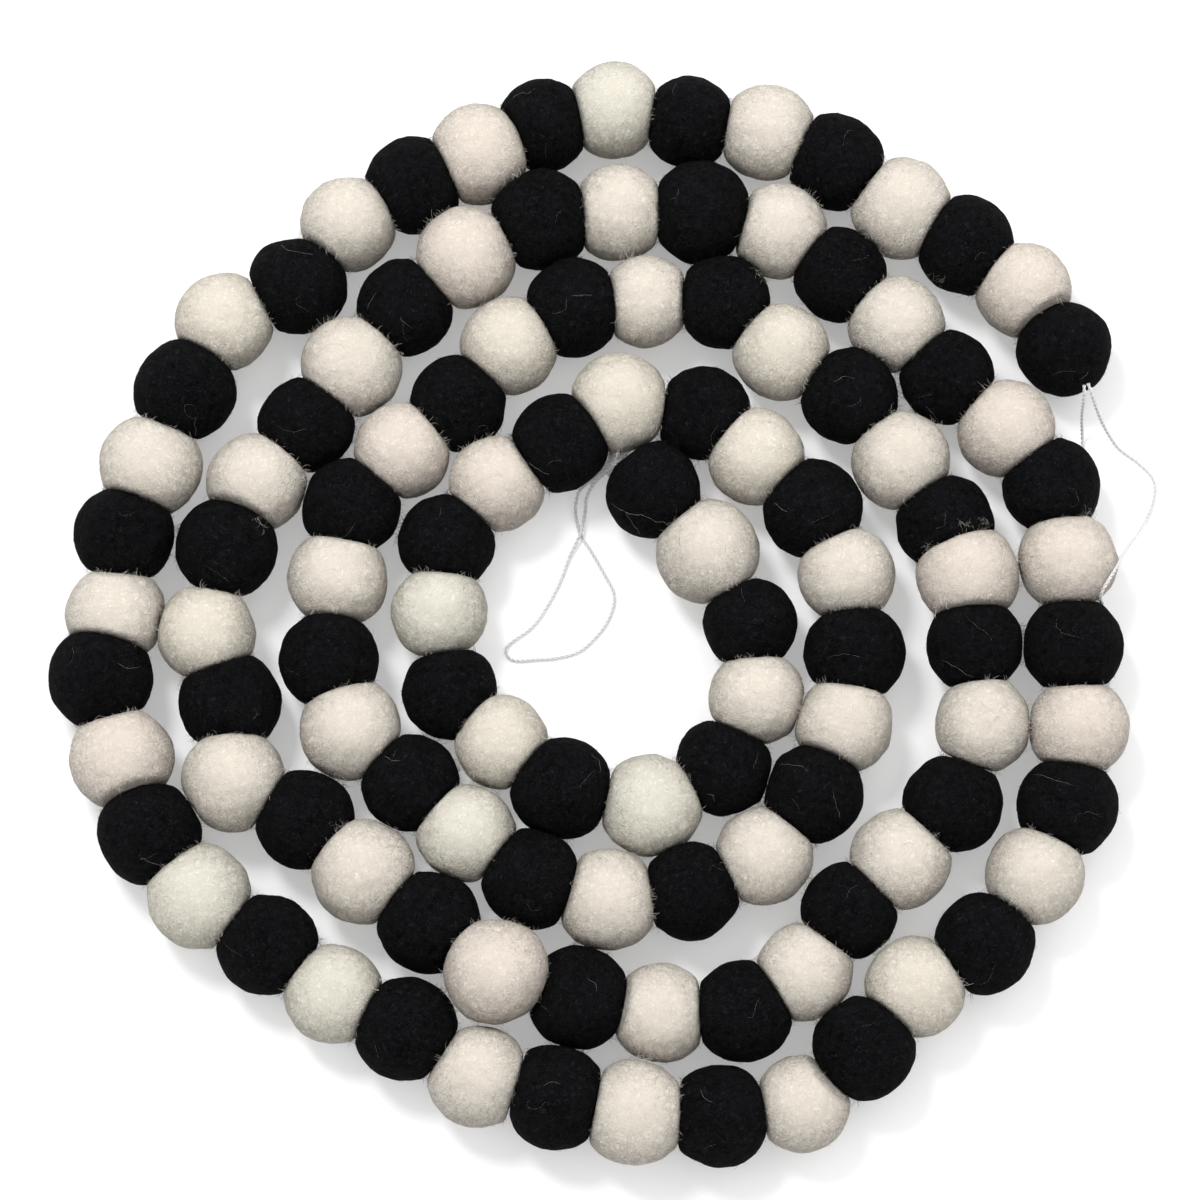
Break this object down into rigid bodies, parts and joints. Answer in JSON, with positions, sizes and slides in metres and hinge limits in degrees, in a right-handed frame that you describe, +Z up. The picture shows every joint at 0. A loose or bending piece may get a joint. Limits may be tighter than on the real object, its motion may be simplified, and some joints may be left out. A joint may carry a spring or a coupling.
{
  "type": "felt ball garland",
  "caption": "Garland of black and off-white felted wool balls strung close together, lying in a flat spiral, with a string loop for hanging at each end.",
  "frame": {"origin": "middle of the balls' footprint, on the surface that they lie on", "axes": "+Z up, away from the surface; +X towards the side where the outer string loop comes out; +Y towards the far side of the spiral"},
  "size_m": [0.2899, 0.2929, 0.0295],
  "materials": {
    "black_felt": "matt felted wool",
    "off_white_felt": "matt felted wool",
    "white_string": "slightly glossy twisted string"
  },
  "bodies": {
    "root": {"pair_01": "off_white_felt", "pair_02": "off_white_felt", "pair_03": "off_white_felt", "pair_04": "off_white_felt", "pair_05": "off_white_felt", "pair_06": "off_white_felt", "pair_07": "off_white_felt", "pair_08": "off_white_felt", "pair_09": "off_white_felt", "pair_10": "off_white_felt", "pair_11": "off_white_felt", "pair_12": "off_white_felt", "pair_13": "off_white_felt", "pair_14": "off_white_felt", "pair_15": "off_white_felt", "pair_16": "off_white_felt", "pair_17": "off_white_felt", "pair_18": "off_white_felt", "pair_19": "off_white_felt", "pair_20": "off_white_felt", "pair_21": "off_white_felt", "pair_22": "off_white_felt", "pair_23": "off_white_felt", "pair_24": "off_white_felt", "pair_25": "off_white_felt", "pair_26": "off_white_felt", "pair_27": "off_white_felt", "pair_28": "off_white_felt", "pair_29": "off_white_felt", "pair_30": "off_white_felt", "pair_31": "off_white_felt", "pair_32": "off_white_felt", "pair_33": "off_white_felt", "pair_34": "off_white_felt", "pair_35": "off_white_felt", "pair_36": "off_white_felt", "pair_37": "off_white_felt", "pair_38": "off_white_felt", "pair_39": "off_white_felt", "pair_40": "off_white_felt", "pair_41": "off_white_felt", "pair_42": "off_white_felt", "pair_43": "off_white_felt", "pair_44": "off_white_felt", "pair_45": "off_white_felt", "pair_46": "off_white_felt", "pair_47": "off_white_felt", "pair_48": "off_white_felt", "pair_49": "off_white_felt", "pair_50": "off_white_felt", "pair_51": "off_white_felt", "pair_52": "off_white_felt", "pair_53": "off_white_felt", "pair_54": "off_white_felt", "pair_55": "off_white_felt", "end_ball": "black_felt", "inner_loop": "white_string", "outer_loop": "white_string", "inner_knot": "white_string"}
  },
  "joints": []
}
